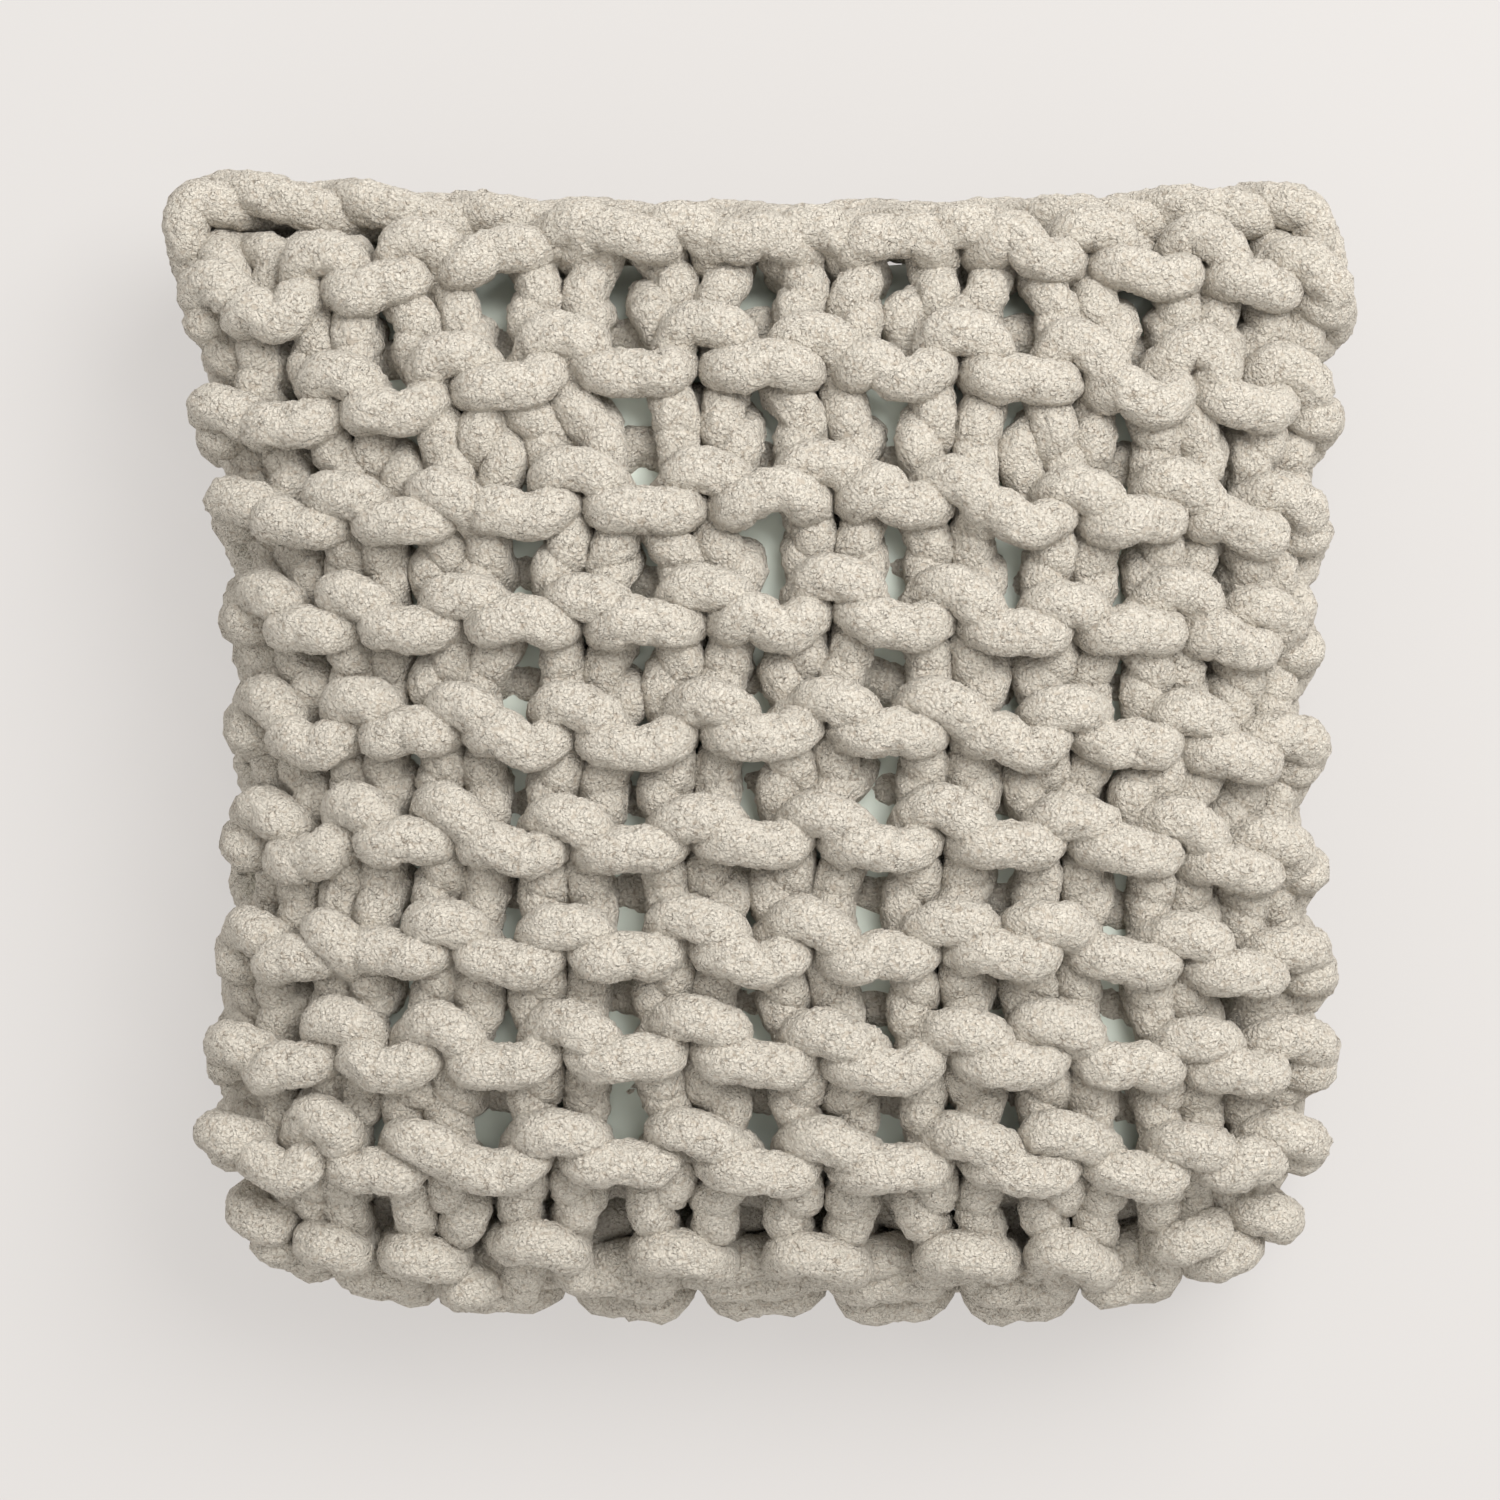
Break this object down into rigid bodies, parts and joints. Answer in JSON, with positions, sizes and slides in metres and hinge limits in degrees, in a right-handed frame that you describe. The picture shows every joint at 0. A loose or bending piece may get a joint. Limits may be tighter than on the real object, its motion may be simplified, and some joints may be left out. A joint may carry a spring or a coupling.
{
  "type": "knitted throw pillow",
  "caption": "Square throw pillow lying on its back: a loose garter-stitch cover of thick chenille yarn laced around a pale cloth insert with a soft filling.",
  "frame": {"origin": "under the middle of the pillow, on the surface that it lies on", "axes": "+X to the right of the front face and along the knitted rows, +Y towards the top edge, +Z out of the front face"},
  "size_m": [0.508, 0.4838, 0.1784],
  "materials": {
    "chenille_yarn": "soft dense pile, matt",
    "insert_cloth": "smooth woven cloth, slight sheen",
    "sewing_thread": "smooth thread",
    "polyester_fibre": "loose fluffy fibre"
  },
  "bodies": {
    "root": {"knit_front_panel": "chenille_yarn", "knit_back_panel": "chenille_yarn", "lacing_yarn_left": "chenille_yarn", "lacing_yarn_right": "chenille_yarn", "lacing_yarn_top": "chenille_yarn", "lacing_yarn_bottom": "chenille_yarn", "insert_front_cloth": "insert_cloth", "insert_back_cloth": "insert_cloth", "insert_seam_thread": "sewing_thread", "insert_closing_thread": "sewing_thread", "polyester_filling": "polyester_fibre"}
  },
  "joints": []
}
